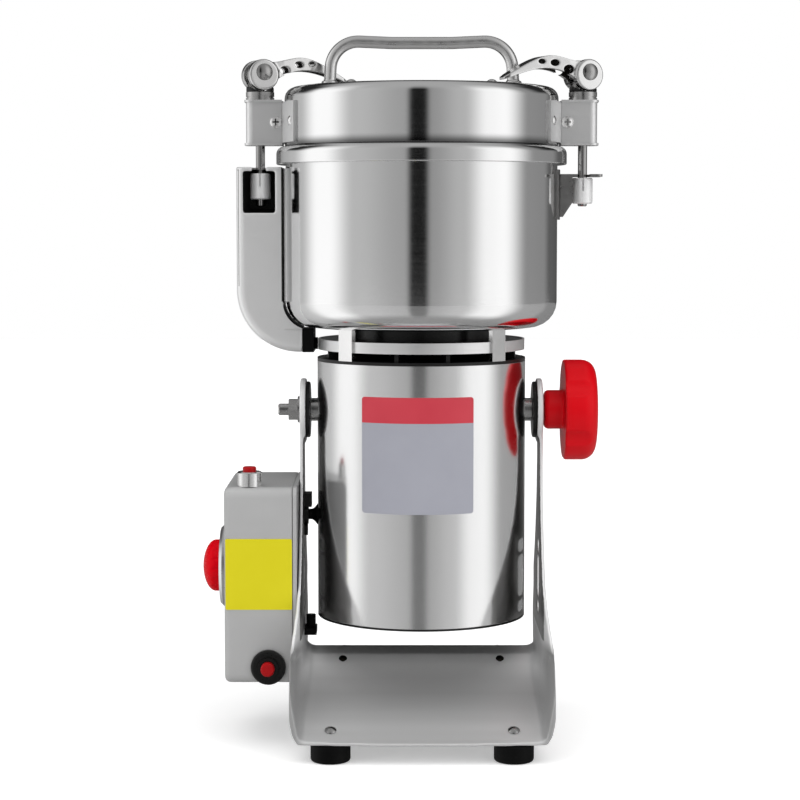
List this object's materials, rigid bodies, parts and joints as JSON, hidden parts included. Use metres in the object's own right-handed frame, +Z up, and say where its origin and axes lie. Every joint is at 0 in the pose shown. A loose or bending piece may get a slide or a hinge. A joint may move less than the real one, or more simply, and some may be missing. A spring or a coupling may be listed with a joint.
{
  "type": "electric grain mill",
  "caption": "Tilting grain mill: steel bowl with blades and a clamped lid on a motor barrel, hung in a pressed stand with a switch box.",
  "frame": {"origin": "on the floor, below the barrel's axis, midway between the feet", "axes": "+X to the right as seen from the front, +Y away from the front, +Z up; the barrel tilts about X"},
  "size_m": [0.2189, 0.158, 0.3837],
  "materials": {
    "polished_steel": "polished stainless steel",
    "brushed_steel": "satin stainless steel",
    "stand_steel": "satin stainless sheet",
    "nickel": "nickel plated",
    "zinc": "zinc plated",
    "black_rubber": "matt",
    "black_plastic": "matt",
    "red_plastic": "glossy",
    "box_paint": "light grey, satin",
    "silicone": "soft, translucent white",
    "iron": "laminated",
    "copper": "enamelled wire",
    "carbon": "matt",
    "aluminium": "cast",
    "dial": "satin plate"
  },
  "bodies": {
    "stand": {"stand": "stand_steel", "feet": "black_rubber", "base_screws": "zinc", "tilt_stop": "black_rubber", "friction_washers": "black_plastic", "lead_gland": "black_plastic", "control_box": "box_paint", "control_box_cover": "box_paint", "timer_body": "black_plastic", "timer_dial": "dial", "overload_breaker": "black_plastic", "power_switch": "nickel", "mains_gland": "black_plastic"},
    "timer_knob": {"timer_knob": "red_plastic"},
    "reset_button": {"reset_button": "red_plastic"},
    "power_button": {"power_button": "red_plastic"},
    "barrel": {"barrel_shell": "polished_steel", "barrel_bottom": "black_plastic", "trunnions": "zinc", "pivot_bolt": "zinc", "lock_stud": "zinc", "motor_lead": "black_rubber", "stator_core": "iron", "field_coils": "copper", "lower_bracket": "aluminium", "upper_bracket": "black_plastic", "bearings": "zinc", "brush_holders": "black_plastic", "carbon_brushes": "carbon", "vent_ring": "brushed_steel", "support_posts": "nickel", "bowl": "polished_steel", "bowl_rim": "polished_steel", "shaft_seal": "silicone", "lid": "polished_steel", "lid_gasket": "silicone", "handle": "nickel", "clamp_straps": "polished_steel", "clamp_boxes": "brushed_steel", "clamp_screws": "zinc", "clamp_washers": "zinc", "clamp_saddles": "black_plastic", "hook_brackets": "brushed_steel", "switch_casing": "brushed_steel", "casing_end": "black_rubber", "safety_switch": "black_plastic", "right_rod": "zinc", "right_nut": "nickel", "left_rod": "zinc", "left_nut": "nickel"},
    "lock_knob": {"lock_knob": "red_plastic"},
    "rotor": {"shaft": "zinc", "armature": "copper", "commutator": "copper", "fan": "black_plastic", "blades": "brushed_steel", "blade_hub": "zinc"},
    "right_lever": {"right_lever": "nickel"},
    "left_lever": {"left_lever": "nickel"},
    "switch_plunger": {"switch_plunger": "red_plastic"}
  },
  "joints": [
    {"name": "barrel_tilt", "type": "hinge", "parent": "stand", "child": "barrel", "pos_m": [0, 0, 0.18], "axis": [1, 0, 0], "range_deg": [0, 100], "deforming": ["motor_lead"]},
    {"name": "lock_knob_turn", "type": "hinge", "parent": "barrel", "child": "lock_knob", "pos_m": [0.087, 0, 0.18], "axis": [1, 0, 0], "range_deg": [0, 360]},
    {"name": "rotor_spin", "type": "hinge", "parent": "barrel", "child": "rotor", "pos_m": [0, 0, 0.14], "axis": [0, 0, 1], "continuous": true},
    {"name": "right_lever_turn", "type": "hinge", "parent": "barrel", "child": "right_lever", "pos_m": [0.0878, 0, 0.3636], "axis": [-0.4226, 0.9063, 0], "range_deg": [0, 165]},
    {"name": "left_lever_turn", "type": "hinge", "parent": "barrel", "child": "left_lever", "pos_m": [-0.0878, 0, 0.3636], "axis": [0.3746, -0.9272, 0], "range_deg": [0, 165]},
    {"name": "timer_turn", "type": "hinge", "parent": "stand", "child": "timer_knob", "pos_m": [-0.115, 0, 0.0935], "axis": [-1, 0, 0], "range_deg": [0, 300]},
    {"name": "power_press", "type": "slide", "parent": "stand", "child": "power_button", "axis": [0, 0, -1], "range_m": [0, 0.002], "stiffness_N_per_m": 400, "springref_m": -0.001},
    {"name": "reset_press", "type": "slide", "parent": "stand", "child": "reset_button", "axis": [0, 1, 0], "range_m": [0, 0.002], "stiffness_N_per_m": 500, "springref_m": -0.001},
    {"name": "plunger_press", "type": "slide", "parent": "barrel", "child": "switch_plunger", "axis": [0, 1, 0], "range_m": [0, 0.001], "stiffness_N_per_m": 200, "springref_m": -0.001}
  ]
}
